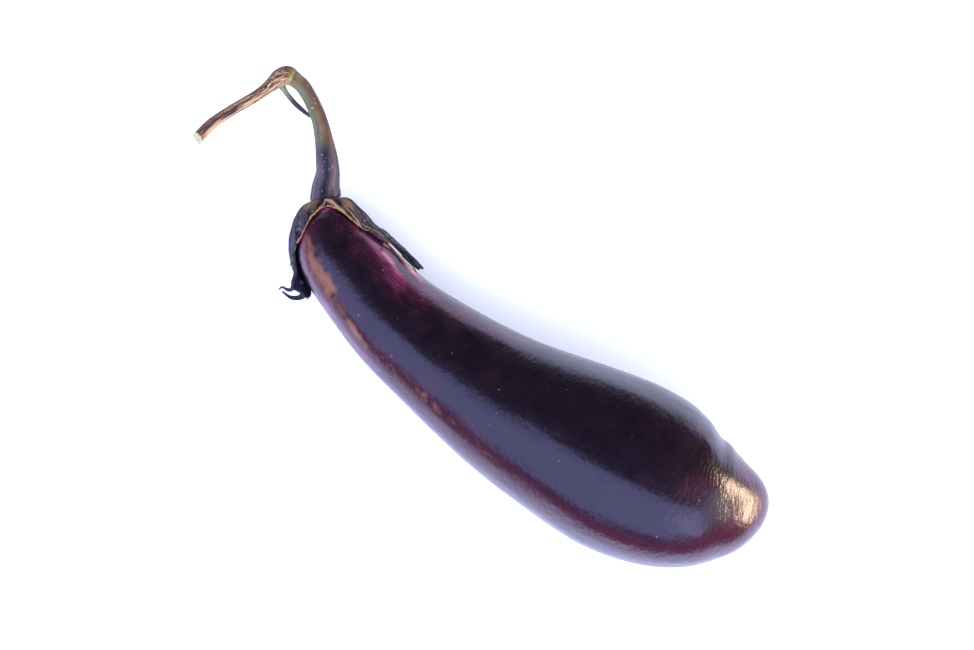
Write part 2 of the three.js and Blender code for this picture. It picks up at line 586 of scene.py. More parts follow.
@dataclass(frozen=True)
class FruitSkin:
    """Waxed-looking skin of a ripe eggplant, grown smooth under its own bloom.

    Almost black where it ripened in the sun, wine red on the flank that grew in shade and pink to
    peach where the calyx kept the light off. The wine red is partly that tone of its own and
    partly
    painted light: it brightens the flank that faces the window lamp. Fine ripples of the flesh
    break up its clear sheen.
    """

    night: str = "#120810"
    dusk: str = "#1c0d17"
    wine: str = "#350f1c"
    pink: str = "#6b2244"
    rose: str = "#9c5a63"
    peach: str = "#c7a78c"
    russet: str = "#74462b"
    speck: str = "#8f6f5c"
    blotch_mm: float = 9.0
    blot_mm: float = 3.6
    streak_mm: float = 0.8
    streak_stretch: Place = (1, 1, 0.12)
    streak_depth_mm: float = 0.008
    ripple_mm: float = 1.7
    ripple_stretch: Place = (0.6, 0.6, 1.3)
    ripple_depth_mm: float = 0.2
    speck_mm: float = 7.0
    speck_rim: float = 0.055
    speck_core: float = 0.03
    speck_strength: float = 0.55
    wine_and_painted_light_edge: Edge = Edge(0.5, 0.05, 0.95)
    pale_edge: Edge = Edge(0.45, 0.04, 1.05)
    rusty_edge: Edge = Edge(1.3, 0.85, 1.5)
    pale_full: float = 0.35  # paleness at which the ground no longer shows
    rough: tuple[float, float] = (0.2, 0.34)
    russet_rough: float = 0.12
    coat: float = 0.1
    coat_rough: float = 0.15

    def make(self) -> bpy.types.Material:
        """Builds the material."""
        sheet = NodeSheet("Eggplant skin, smooth and waxy")
        grain, wine, pallor, russet = sheet.painted("wine", "pallor", "russet")
        blotch = sheet.pattern(grain, self.blotch_mm, 5.0)
        streak = sheet.pattern(grain, self.streak_mm, 4.0, self.streak_stretch)
        blot = sheet.pattern(grain, self.blot_mm, 4.0)
        ripple = sheet.pattern(grain, self.ripple_mm, 2.0, self.ripple_stretch)
        uneven = sheet.maths("SUBTRACT", sheet.maths("ADD", blotch, streak), 1.0)

        ground = sheet.ramp(blotch, [(0.3, self.night), (0.75, self.dusk)])
        # Wine red mask: partly the skin's own tone, partly painted light on the flank facing the
        # window lamp.
        wine_and_painted_light = sheet.worn(wine, uneven, self.wine_and_painted_light_edge)
        pale = sheet.worn(pallor, uneven, self.pale_edge)
        blush = sheet.ramp(
            pale, [(0.0, self.wine), (0.4, self.pink), (0.72, self.rose), (1.0, self.peach)]
        )
        shown = sheet.add("MapRange", None, {0: pale, FROM_MIN: 0.0, FROM_MAX: self.pale_full})
        rusty = sheet.worn(russet, blot, self.rusty_edge)
        dots = sheet.specks(grain, self.speck_mm, self.speck_rim, self.speck_core)
        faint = sheet.maths("MULTIPLY", dots, self.speck_strength)
        colour = sheet.coats(
            ground, (wine_and_painted_light, self.wine), (shown, blush), (rusty, self.russet), (faint, self.speck)
        )
        gloss = sheet.spread(streak, self.rough)
        gloss = sheet.maths("MULTIPLY_ADD", rusty, self.russet_rough, gloss)
        lean = sheet.relief((ripple, self.ripple_depth_mm), (streak, self.streak_depth_mm))
        coat = {"Coat Weight": self.coat, "Coat Roughness": self.coat_rough}
        return sheet.close(colour, gloss, lean, coat)


@dataclass(frozen=True)
class CalyxSkin:
    """Leathery calyx, dried in the air: dull, wrinkled and scurfy.

    Charcoal purple with a bluish bloom at the edges, olive brown where the stalk joins, and
    corky tan where a lobe tore away. The inner face, towards the fruit, is darker purple: painted
    shade under the lobes.
    """

    char: str = "#0b0709"
    plum: str = "#3b3137"
    olive: str = "#6a4d26"
    cork: str = "#936c3c"
    # Darker purple of the inner face: painted shade under the lobes.
    inner_face_shade: str = "#150c1a"
    crumb: str = "#8d6a4a"
    bloom: str = "#8a97c4"
    wrinkle_mm: float = 2.0
    wrinkle_stretch: Place = (1, 1, 0.2)
    wrinkle_depth_mm: float = 0.7
    scurf_mm: float = 1.5
    scurf_depth_mm: float = 0.4
    patch_mm: float = 5.0
    crumb_mm: float = 1.9
    crumb_rim: float = 0.3
    crumb_core: float = 0.16
    olive_edge: Edge = Edge(1.0, 0.85, 1.3)
    cork_edge: Edge = Edge(0.5, 0.55, 0.95)
    rough: tuple[float, float] = (0.6, 0.9)
    sheen: float = 0.12
    sheen_rough: float = 0.4

    def make(self) -> bpy.types.Material:
        """Builds the material."""
        sheet = NodeSheet("Calyx skin, air-dried and leathery")
        grain, olive, torn, inner = sheet.painted("olive", "torn", "inner")
        place = sheet.add("TexCoord", None, None, "Object")
        wrinkle = sheet.pattern(grain, self.wrinkle_mm, 6.0, self.wrinkle_stretch)
        scurf = sheet.pattern(place, self.scurf_mm, 4.0)
        patch = sheet.pattern(place, self.patch_mm, 4.0)
        shade = sheet.maths("MULTIPLY", wrinkle, scurf)
        crumbs = sheet.specks(place, self.crumb_mm, self.crumb_rim, self.crumb_core)
        colour = sheet.coats(
            sheet.ramp(shade, [(0.16, self.char), (0.36, self.plum)]),
            (sheet.worn(olive, patch, self.olive_edge), self.olive),
            (sheet.maths("MULTIPLY", crumbs, patch), self.crumb),
            # The inner face darkened: painted shade.
            (inner, self.inner_face_shade),
            (sheet.worn(torn, scurf, self.cork_edge), self.cork),
        )
        lean = sheet.relief((wrinkle, self.wrinkle_depth_mm), (scurf, self.scurf_depth_mm))
        return sheet.close(colour, sheet.spread(scurf, self.rough), lean, bloomed(self))


@dataclass(frozen=True)
class StalkSkin:
    """Green fruit stalk, grown with fine lengthwise fibres and pale breathing pores.

    Dark purple at its fluted base, with the crests of the flutes painted lighter as a painted
    highlight, olive green on its inner side and red brown on its outer side towards the
    knuckle. Satin, with a violet bloom at the edges.
    """

    base: str = "#170a0f"
    # Lighter colour on the flute crests: a painted highlight.
    crest_highlight: str = "#4b3a3c"
    inner: str = "#57582f"
    outer: str = "#55391f"
    pore: str = "#9a8468"
    knuckle: str = "#6f5a34"
    bloom: str = "#9a9cc8"
    fibre_mm: float = 1.3
    fibre_stretch: Place = (1, 1, 0.08)
    fibre_depth_mm: float = 0.3
    patch_mm: float = 3.0
    pore_mm: float = 1.0
    pore_stretch: Place = (1, 1, 0.5)
    pore_rim: float = 0.26
    pore_core: float = 0.14
    pore_depth_mm: float = 0.06
    pore_groups: tuple[float, float] = (0.5, 0.62)
    turn_edge: Edge = Edge(0.6, 0.45, 1.05)
    dark_edge: Edge = Edge(0.7, 0.5, 1.15)
    line_values: tuple[float, float] = (0.3, 0.7)
    line_shades: tuple[float, float] = (0.45, 1.45)
    rough: tuple[float, float] = (0.42, 0.62)
    sheen: float = 0.1
    sheen_rough: float = 0.35

    def make(self) -> bpy.types.Material:
        """Builds the material."""
        sheet = NodeSheet("Fruit stalk skin, fresh and satin")
        grain, purple, crest, side, tan = sheet.painted("purple", "crest", "side", "tan")
        fibre = sheet.pattern(grain, self.fibre_mm, 4.0, self.fibre_stretch)
        patch = sheet.pattern(grain, self.patch_mm, 5.0)
        colour = sheet.coats(
            self.inner,
            (sheet.worn(side, patch, self.turn_edge), self.outer),
            (
                sheet.worn(purple, fibre, self.dark_edge),
                # Flute crests painted lighter: a painted highlight.
                sheet.coats(self.base, (crest, self.crest_highlight)),
            ),
            (tan, self.knuckle),
        )
        (low, high), (dim, bright) = self.line_values, self.line_shades
        lines = {0: fibre, FROM_MIN: low, FROM_MAX: high, TO_MIN: dim, TO_MAX: bright}
        shade = {MIX_MASK: 1.0, MIX_UNDER: colour, MIX_OVER: sheet.add("MapRange", None, lines)}
        lined = {"data_type": "RGBA", "blend_type": "MULTIPLY"}
        colour = sheet.add("Mix", lined, shade, MIX_COLOUR)
        stretched = sheet.add("Mapping", None, {"Vector": grain, "Scale": self.pore_stretch})
        pores = sheet.specks(stretched, self.pore_mm, self.pore_rim, self.pore_core)
        low, high = self.pore_groups
        grouped = sheet.add("MapRange", None, {0: patch, FROM_MIN: low, FROM_MAX: high})
        pores = sheet.maths("MULTIPLY", pores, grouped)
        colour = sheet.coats(colour, (pores, self.pore))
        lean = sheet.relief((fibre, self.fibre_depth_mm), (pores, self.pore_depth_mm))
        return sheet.close(colour, sheet.spread(patch, self.rough), lean, bloomed(self))


@dataclass(frozen=True)
class StemBark:
    """Young woody bark that split lengthwise as the stem thickened.

    Tan ground, purple brown down in the fissures and darker along one side, dull
    all over, with a yellow green ring where the stalk leaves the knuckle.
    """

    ground: str = "#6f4e30"
    light: str = "#ad8a5c"
    fissure: str = "#38211c"
    # Flat darker colour along one side of the stem.
    darker_side: str = "#6a472c"
    green: str = "#86803a"
    fibre_mm: float = 0.8
    fibre_stretch: Place = (1, 1, 0.1)
    fibre_depth_mm: float = 0.4
    patch_mm: float = 4.0
    darker_side_edge: Edge = Edge(0.8, 0.85, 1.4)
    crack_edge: Edge = Edge(0.5, 0.6, 1.05)
    rough: tuple[float, float] = (0.6, 0.85)

    def make(self) -> bpy.types.Material:
        """Builds the material."""
        sheet = NodeSheet("Eggplant stem bark, dry and split")
        grain, deep, side, ring = sheet.painted("deep", "side", "ring")
        fibre = sheet.pattern(grain, self.fibre_mm, 5.0, self.fibre_stretch)
        patch = sheet.pattern(grain, self.patch_mm, 4.0)
        colour = sheet.coats(
            sheet.ramp(fibre, [(0.4, self.fissure), (0.47, self.ground), (0.56, self.light)]),
            # Darker along one side of the stem.
            (sheet.worn(side, patch, self.darker_side_edge), self.darker_side),
            (sheet.worn(deep, fibre, self.crack_edge), self.fissure),
            (ring, self.green),
        )
        lean = sheet.relief((fibre, self.fibre_depth_mm))
        return sheet.close(colour, sheet.spread(fibre, self.rough), lean)


@dataclass(frozen=True)
class CutWood:
    """Green wood cut with shears: pale, damp and stringy, cream with greener strands."""

    pith: str = "#bdb78e"
    fibre: str = "#8d915f"
    size_mm: float = 0.9
    depth_mm: float = 0.2
    rough: tuple[float, float] = (0.45, 0.75)

    def make(self) -> bpy.types.Material:
        """Builds the material."""
        sheet = NodeSheet("Green wood, sheared")
        place = sheet.add("TexCoord", None, None, "Object")
        strands = sheet.pattern(place, self.size_mm, 4.0)
        colour = sheet.ramp(strands, [(0.35, self.fibre), (0.6, self.pith)])
        lean = sheet.relief((strands, self.depth_mm))
        return sheet.close(colour, sheet.spread(strands, self.rough), lean)


@dataclass(frozen=True)
class DryStalkSkin:
    """A spent flower stalk, shrivelled in the air: green at its root, then dark and dull."""

    green: str = "#6f7a44"
    dark: str = "#332c36"
    fibre_mm: float = 0.3
    fibre_stretch: Place = (1, 1, 0.15)
    fibre_depth_mm: float = 0.1
    wander_mm: float = 4.0
    green_mm: float = 3.0  # all green up to here
    dark_mm: float = 9.0  # all dark from here
    rough: tuple[float, float] = (0.5, 0.75)

    def make(self) -> bpy.types.Material:
        """Builds the material."""
        sheet = NodeSheet("Flower stalk, shrivelled")
        (grain,) = sheet.painted()
        fibre = sheet.pattern(grain, self.fibre_mm, 4.0, self.fibre_stretch)
        from_root = sheet.add("SeparateXYZ", None, {0: grain}, "Z")
        moved = sheet.maths("MULTIPLY_ADD", fibre, self.wander_mm * MM, from_root)
        span = {0: moved, FROM_MIN: self.green_mm * MM, FROM_MAX: self.dark_mm * MM}
        age = sheet.add("MapRange", None, span)
        colour = sheet.ramp(age, [(0.0, self.green), (1.0, self.dark)])
        lean = sheet.relief((fibre, self.fibre_depth_mm))
        return sheet.close(colour, sheet.spread(fibre, self.rough), lean)


# ---- fruit ----
@dataclass
class Fruit:
    """The fruit: a bent club with a slim neck, a fat belly and a crease by the blossom end."""

    spine: tuple[Place, ...] = (
        (-141.8, 19.4, 15.5), (-129.2, 8.2, 16.3), (-112.8, 2.3, 18.2), (-95.6, -1.9, 20.3),
        (-78.0, -3.6, 22.6), (-43.0, -4.5, 27.8), (-9.0, -1.2, 31.8), (9.0, 1.2, 32.3),
        (26.0, 4.4, 32.3), (42.5, 10.3, 31.8), (57.5, 19.8, 31.0),
    )
    stations: tuple[Station, ...] = (
        (0, 0), (6.6, 1.4), (10.2, 4.1), (13.2, 8.6), (15.4, 16.6), (16.8, 26), (17.6, 35),
        (19.3, 52), (22.4, 78.5), (28.6, 118), (32.2, 143), (32.8, 157), (31.1, 171),
        (26.9, 184), (21.5, 193), (15.6, 201), (8.2, 207.7), (0, 210.9),
    )
    columns: int = 256
    rows: int = 270
    crease_at: float = 187.0
    crease_depth: float = 2.1
    crease_before: float = 6.0
    crease_after: float = 4.0
    crease_angle: float = -80.0
    crease_spread: float = 1.6  # widens the crease round the fruit
    crease_sharpness: float = 10.0  # and this narrows it again
    ripple: float = 0.17
    ripple_size: float = 9.0
    ripple_stretch: float = 0.3
    ripple_fade: tuple[float, float] = (4.0, 14.0)  # radii between which the ripples set in
    scar_reach: float = 2.2
    scar_depth: float = 0.5
    scar_colour: float = 0.9
    # Wine red strokes, mostly along the flank that faces the window lamp: partly the skin's own
    # tone, partly painted light.
    wine: tuple[Stroke, ...] = (
        Stroke(((8, -62), (26, -50), (45, -44), (70, -52), (100, -62)), 5.5, 0.8),
        Stroke(((26, -34), (50, -30)), 6.0, 0.45),
        Stroke(((10, 44), (30, 50), (52, 50), (80, 46), (102, 44), (124, 46), (140, 49), (154, 48),
                (171, 47), (185, 40), (194, 33), (203, -8)), 6.5, 0.95),
        Stroke(((30, 62), (60, 62), (102, 60), (154, 62), (180, 58), (198, 40)), 9.0, 0.6),
        Stroke(((177, -6), (183, -12)), 6.0, 0.5),
        Stroke(((199, -60), (207, 0), (199, 60)), 10.0, 0.75),
    )
    pallor: tuple[Stroke, ...] = (
        Stroke(((14, -56), (25.7, -50), (33, -44), (46, -40)), 4.6, 0.36),
        Stroke(((24, -52), (30.6, -50.5)), 2.0, 0.42),
        Stroke(((31.5, -52), (36.5, -51)), 2.2, 0.68),
        Stroke(((36.5, -50), (42, -45)), 2.4, 0.5),
        Stroke(((32, -84), (36.3, -79), (40.4, -74), (44, -72)), 3.0, 1.0),
        Stroke(((44, -71), (50, -66)), 3.0, 0.62),
        Stroke(((50, -64), (60, -60), (72, -60)), 3.4, 0.3),
        Stroke(((40, -36), (48, -32)), 4.2, 0.34),
        Stroke(((12, -44), (30, -42), (62, -48)), 8.5, 0.26),
        Stroke(((6, 46), (14.4, 52), (22, 57), (29, 61), (45, 64), (60, 62)), 3.0, 0.42),
        Stroke(((18, -70), (32, -80), (44, -84)), 4.0, 0.7),
        Stroke(((0, -180), (0, 180)), 3.0, 0.8),
    )
    russet: tuple[Stroke, ...] = (
        Stroke(((12, 38), (15.5, 37.5), (19, 39)), 3.0, 0.6),
        Stroke(((20.5, 38), (25.8, 35), (29.0, 38)), 3.8, 0.72),
        Stroke(((33.5, 41), (37.6, 41.3)), 3.0, 0.52),
        Stroke(((43.4, 43.4), (49.4, 45), (52.4, 46.6)), 2.2, 0.6),
        Stroke(((19, 39), (33, 41), (54, 45), (70, 43), (80.6, 40)), 5.0, 0.2),
        Stroke(((80.6, 38.2),), 2.2, 0.66),
        Stroke(((86, 41), (88, 42.5)), 2.0, 0.6),
        Stroke(((90, 43), (112, 44)), 4.0, 0.16),
    )

    def __post_init__(self) -> None:
        """Samples the axis and the outline."""
        self.axis = Axis(self.spine)
        self.outline = Outline(self.stations)

    def crease(self, along: Array, angle: Array) -> Array:
        """Depth of the crease that sets off the nub, at places on the skin."""
        run = np.where(along < self.crease_at, self.crease_before, self.crease_after)
        turn = np.cos((angle - math.radians(self.crease_angle)) / self.crease_spread)
        around = np.maximum(0.0, turn) ** self.crease_sharpness
        return self.crease_depth * np.exp(-(((along - self.crease_at) / run) ** 2)) * around

    def build(self) -> bpy.types.Object:
        """Grows the fruit and dresses it in its skin."""
        body = Body("wine", "pallor", "russet")
        verts, row, angle = body.roll(self.columns, self.rows)
        reach = row / self.rows * self.outline.length
        radius, along = self.outline.at(reach)
        straight = unbent(radius, angle, along * self.ripple_stretch)
        fade = smoothstep(radius, *self.ripple_fade)
        swell = self.ripple * fractal(straight, self.ripple_size, 2) * fade
        grown = radius - np.minimum(self.crease(along, angle), radius) + swell
        from_tip = self.outline.length - reach
        along = along - self.scar_depth * bell(from_tip, 0.0, self.scar_reach)
        points = self.axis.place(along, grown, angle)
        points[:, 2] = np.maximum(points[:, 2], 0.0)
        body.shape(verts, points)
        body.lay_grain(verts, along, angle, radius)
        body.mark(verts, "wine", brushed(self.wine, along, angle, radius))
        body.mark(verts, "pallor", brushed(self.pallor, along, angle, radius))
        russet = brushed(self.russet, along, angle, radius)
        scar = self.scar_colour * bell(from_tip, 0.0, self.scar_reach)
        body.mark(verts, "russet", np.maximum(russet, scar))
        return body.finish("fruit_body", [FruitSkin().make()], Slot.FRUIT_SKIN, "fruit")


# ---- calyx ----
CALYX_GRAIN = 12.0  # radius at which the calyx is laid flat for its patterns


@dataclass(frozen=True)
class Prong:
    """A dried thorn-like tip: a tapered strand along a short curved line."""

    path: tuple[Place, ...]
    root: float
    tip: float = 0.12
    columns: int = 10
    rows: int = 22
    taper: float = 1.1
    wobble: float = 0.15  # a dried strand is not round
    grain_from: float = 40.0
    torn: float = 0.0

    def add_to(self, body: Body) -> None:
        """Turns the strand and adds it to a body."""
        axis = Axis(self.path)
        verts, row, angle = body.roll(self.columns, self.rows)
        share = np.clip((row - 1) / (self.rows - 2), 0.0, 1.0)
        radius = self.root + (self.tip - self.root) * share**self.taper
        radius = np.where((row < 0.5) | (row > self.rows - 0.5), 0.0, radius)
        along = share * axis.length
        wobble = 1.0 + self.wobble * np.sin(3.0 * angle + 9.0 * share)
        body.shape(verts, axis.place(along, radius * wobble, angle))
        body.lay_grain(verts, along + self.grain_from, angle, np.full(len(verts), CALYX_GRAIN))
        body.mark(verts, "olive", np.zeros(len(verts)))
        body.mark(verts, "inner", np.zeros(len(verts)))
        body.mark(verts, "torn", np.full(len(verts), self.torn))


@dataclass
class Calyx:
    """The calyx: a leathery cap over the fruit's shoulder with pointed lobes, one torn away."""

    fruit: Fruit
    rim: tuple[Place, ...] = (  # angle from the top, reach, lift
        (-180, 20, 0), (-166, 24, 0.2), (-151, 35, 0.5), (-138, 29, 0.4), (-126, 24, 0.4),
        (-114, 31, 1.5), (-103, 43, 2), (-96, 53, 1.5), (-90, 49.5, 1.5), (-84, 53, 0.4),
        (-80, 44, 1.1), (-74, 38.5, 0.9), (-65, 36, 0.3), (-57, 28, 0.2), (-48, 21.5, 0.2),
        (-37, 16, 0.1), (-25, 11, 0.1), (-10, 8.2, 0), (6, 7.9, 0), (20, 9.8, 0),
        (33, 13.2, 0.1), (44, 17.5, 0.1), (57, 20.2, 0.2), (71, 22, 0.3), (81, 25, 0.6),
        (88, 28, 0.9), (95, 30, 1.2), (102, 33, 2.4), (112, 32, 1.6), (125, 25, 0.6),
        (139, 28, 0.4), (151, 33, 0.5), (166, 24, 0.2), (180, 20, 0),
    )
    columns: int = 480
    outer_rows: int = 72
    edge_rows: int = 6
    inner_rows: int = 24
    gap: float = 0.45
    curl_angle: float = 93.0
    curl_width: float = 5.5
    curl_height: float = 4.0
    crown_thickness: float = 2.6
    crown_lean: float = 0.6
    crown_radius: float = 6.0
    crown_fade: float = 17.0
    lobe_thickness: float = 1.1
    lip: float = 0.3
    wrinkle: float = 0.5
    wrinkle_size: float = 1.6
    wrinkle_stretch: float = 0.15
    jag: float = 0.5
    jag_size: float = 0.9
    curl_power: float = 26.0  # only the very end of the lobe curls up
    cork: float = 0.2  # how far the torn edge stands up
    cork_reach: float = 0.4
    seam_height: float = 0.45
    seam_radius: float = 6.0  # seams are no narrower than here
    pocket_at: Station = (6.9, -2.0)  # reach and degrees of the hollow under the torn ridge
    pocket_size: Station = (0.7, 6.0)
    pocket_depth: float = 0.7
    tear_ease: float = 12.0
    taper_reach: float = 2.4
    tear_taper: float = 0.84  # the cap thins by this much towards the torn edge
    tear_from: float = -60.0
    tear_to: float = 62.0
    seams: tuple[Stroke, ...] = (  # reach over the skin, angle: cracks and torn ridges
        Stroke(((5.4, -4), (7.6, 10), (10.4, 22), (12.6, 31)), 0.28, 1.0),
        Stroke(((5.4, -4), (7.4, -16), (10.3, -24), (13.0, -31), (16.0, -37),
                (19.5, -44)), 0.3, 1.0),
        Stroke(((11.0, -36), (14.0, -40), (18.6, -45), (24, -50), (29, -56)), 0.25, 0.8),
        Stroke(((20.0, -52), (27, -60), (34, -68)), 0.3, 0.6),
    )
    patches: tuple[Stroke, ...] = (
        Stroke(((5, 31), (8, 40)), 2.6, 0.95),
        Stroke(((7.6, -54), (11.6, -49)), 2.8, 0.95),
        Stroke(((7.6, -6), (7.6, 4)), 0.9, 0.5),
    )
    prongs: tuple[Prong, ...] = (
        Prong(((-133.6, -9.4, 13), (-134.6, -12.4, 13.5), (-135.3, -14.6, 13.2),
               (-136.8, -15.3, 13),
               (-138.2, -15.4, 13), (-139.1, -16.2, 12.6), (-138.9, -16.9, 12)), 1.1, 0.3),
        Prong(((-130.2, -13.0, 10), (-131.3, -15.5, 10.2), (-132.8, -16.6, 10.4),
               (-134.6, -17.1, 10.8),
               (-136.3, -17.1, 11), (-137.9, -17.0, 11.2)), 1.25, 0.3),
        Prong(((-132.0, -11.6, 12.5), (-130.1, -12.9, 12.2), (-128.9, -13.6, 12),
               (-127.8, -13.9, 12)), 0.7, 0.2),
        Prong(((-139.6, -5.0, 17.6), (-140.3, -6.4, 18), (-140.1, -7.6, 18.2)), 0.35, 0.1),
        Prong(((-107.1, 20.0, 23.6), (-104.3, 19.4, 24.2), (-101.5, 18.6, 24.6),
               (-99.0, 17.3, 25)), 0.65),
        Prong(((-107.1, 21.3, 22), (-104.0, 21.0, 22.4), (-100.9, 20.4, 22.8),
               (-98.6, 19.9, 23)), 0.6),
        Prong(((-115.0, 19.3, 26.6), (-113.6, 19.4, 27), (-112.4, 19.1, 26.8)),
              0.55, 0.2, torn=1.0),
    )

    def rows(self) -> Array:
        """Rows from the outer middle over the rim to the inner middle: share, wall, lip."""
        out = np.linspace(0.0, 1.0, self.outer_rows + 1)
        turn = np.linspace(0.0, math.pi, self.edge_rows + 1)[1:-1]
        back = np.linspace(1.0, 0.0, self.inner_rows + 1)
        outer = np.stack([out, np.ones_like(out), np.zeros_like(out)], axis=-1)
        edge = np.stack([np.ones_like(turn), (1 + np.cos(turn)) / 2, np.sin(turn)], axis=-1)
        inner = np.stack([back, np.zeros_like(back), np.zeros_like(back)], axis=-1)
        return np.vstack([outer, edge, inner])

    def build(self) -> bpy.types.Object:
        """Drapes the cap over the fruit's shoulder and dresses it."""
        outline = self.fruit.outline
        rows = self.rows()
        body = Body("torn", "olive", "inner")
        verts, row, angle = body.roll(self.columns, len(rows) - 1)
        numbers = np.arange(len(rows))
        share, wall, lip = (np.interp(row, numbers, c) for c in rows.T)
        rim = Axis(self.rim).at_parameter(0.5 + angle / (2 * math.pi))
        turned = np.radians((1 - share) * np.degrees(angle) + share * rim[:, 0])
        ring = unbent(CALYX_GRAIN, turned, np.zeros_like(turned))
        jag = fractal(ring, self.jag_size, 3, 5.0) * self.jag * smoothstep(share, 0.75, 1.0)
        reach = np.maximum(rim[:, 1] * share + jag + self.lip * lip, 0.0)
        radius, along = outline.at(reach)
        out_radius, out_along = outline.outward(reach)
        thinning = smoothstep(reach, self.crown_radius, self.crown_fade)
        lean = self.crown_lean * np.sin(turned) * smoothstep(reach, 1.0, self.crown_radius)
        thick = (1 - thinning) * (self.crown_thickness + lean) + thinning * self.lobe_thickness
        bend = bell(rim[:, 0], self.curl_angle, self.curl_width)
        curl = self.curl_height * share**self.curl_power * bend

        tear = smoothstep(rim[:, 0], self.tear_from, self.tear_from + self.tear_ease)
        tear *= 1 - smoothstep(rim[:, 0], self.tear_to - self.tear_ease, self.tear_to)
        to_rim = rim[:, 1] * (1 - share)
        torn = tear * bell(to_rim, 0.0, self.cork_reach)
        across = np.maximum(radius, self.seam_radius)
        seam = brushed(self.seams, reach, turned, across)
        folds = unbent(CALYX_GRAIN, turned, self.wrinkle_stretch * reach)
        fold = fractal(folds, self.wrinkle_size, 4, 1.0)
        thick = thick * (1 - self.tear_taper * tear * bell(to_rim, 0.0, self.taper_reach))
        relief = self.wrinkle * fold * smoothstep(reach, 3.0, 9.0) * (1 - 0.8 * torn)
        relief += self.cork * torn + self.seam_height * seam
        (pocket_reach, pocket_angle), (deep, wide) = self.pocket_at, self.pocket_size
        pocket = bell(reach, pocket_reach, deep)
        pocket = pocket * bell(np.degrees(turned), pocket_angle, wide)
        relief -= self.pocket_depth * pocket
        off = self.gap + rim[:, 2] * smoothstep(share, 0.15, 0.65) + curl
        off = off + wall * (thick + relief)
        points = self.fruit.axis.place(along + off * out_along, radius + off * out_radius, turned)
        floor = np.where(wall > 0.5, 0.0, 0.5 * self.lobe_thickness)
        points[:, 2] = np.maximum(points[:, 2], floor)
        body.shape(verts, points)
        body.lay_grain(verts, reach, turned, np.full(len(verts), CALYX_GRAIN))
        body.mark(verts, "torn", np.maximum(torn, seam) * smoothstep(wall, 0.2, 0.4))
        body.mark(verts, "olive", brushed(self.patches, reach, turned, across))
        # Marks the inner face, which the skin paints darker as painted shade.
        body.mark(verts, "inner", 1.0 - smoothstep(wall, 0.0, 0.6))
        for prong in self.prongs:
            prong.add_to(body)
        return body.finish("calyx_cap", [CalyxSkin().make()], Slot.CALYX_SKIN, "calyx")


# ---- stalks and stem ----
@dataclass
class FruitStalk:
    """The fruit stalk: fluted where it leaves the crown, then round and slim to the knuckle."""

    spine: tuple[Place, ...] = (
        (-144.4, 22.6, 15.4), (-145.8, 24.9, 16.0), (-148.0, 29.8, 17.6), (-151.9, 34.9, 19.4),
        (-156.8, 40.4, 21.4), (-162.3, 45.4, 23.1), (-169.2, 49.7, 24.5), (-173.4, 51.4, 25.1),
        (-176.9, 51.8, 25.4),
    )
    stations: tuple[Station, ...] = (
        (6, 0), (5.2, 4.5), (4.6, 9.5), (4.3, 14), (3.4, 22), (2.95, 30), (2.75, 38), (3, 46.6),
    )
    sink: float = 1.6  # how far the base goes into the crown
    join: float = 1.3  # and the other end into the knuckle
    cup: float = 0.4
    slant: float = 0.16
    slant_reach: float = 7.0
    columns: int = 120
    wall_rows: int = 260
    flutes: int = 5
    flute_depth: float = 0.42
    flute_reach: float = 26.0
    lump: float = 0.12
    lump_size: float = 1.6
    lump_stretch: float = 0.2
    green_between: tuple[float, float] = (12.0, 27.0)  # where purple gives way to green
    knuckle_between: tuple[float, float] = (43.0, 46.0)  # where the knuckle's colour sets in
    knuckle_tint: float = 0.7

    def build(self) -> bpy.types.Object:
        """Grows the stalk and dresses it."""
        axis = Axis(self.spine)
        wall = Outline(self.stations).wall(self.wall_rows)
        wall[0, 1] -= self.sink
        wall[-1, 1] += self.join
        rows = capped(wall, dish=-self.cup)
        body = Body("purple", "crest", "side", "tan")
        verts, row, angle = body.roll(self.columns, len(rows) - 1)
        radius, along = read_rows(rows, row)
        lean = 1 - smoothstep(along, 0.0, self.slant_reach)
        shifted = along + self.slant * radius * np.sin(angle) * lean
        crest = 0.5 - 0.5 * np.cos(self.flutes * angle)
        fade = 1 - smoothstep(along, 4.0, self.flute_reach)
        straight = unbent(radius, angle, along * self.lump_stretch)
        lumps = fractal(straight, self.lump_size, 3, 3.0)
        on_wall = smoothstep(radius, 1.0, 2.4)
        full = radius / 6.0
        grown = radius - self.flute_depth * (1 - crest) * fade * on_wall * full * 2.0
        grown = grown + self.lump * lumps * on_wall * smoothstep(along, 0.5, 3.0)
        body.shape(verts, axis.place(shifted, np.maximum(grown, 0.0), angle))
        body.lay_grain(verts, along, angle, radius)
        body.mark(verts, "purple", 1 - smoothstep(along, *self.green_between))
        # Marks the flute crests, which the skin paints lighter as a painted highlight.
        body.mark(verts, "crest", crest * (0.4 + 0.6 * fade))
        body.mark(verts, "side", 0.5 + 0.5 * np.sin(angle))
        body.mark(verts, "tan", smoothstep(along, *self.knuckle_between) * self.knuckle_tint)
        return body.finish("stalk_of_fruit", [StalkSkin().make()], Slot.GREEN_STALK, "fruit_stalk")


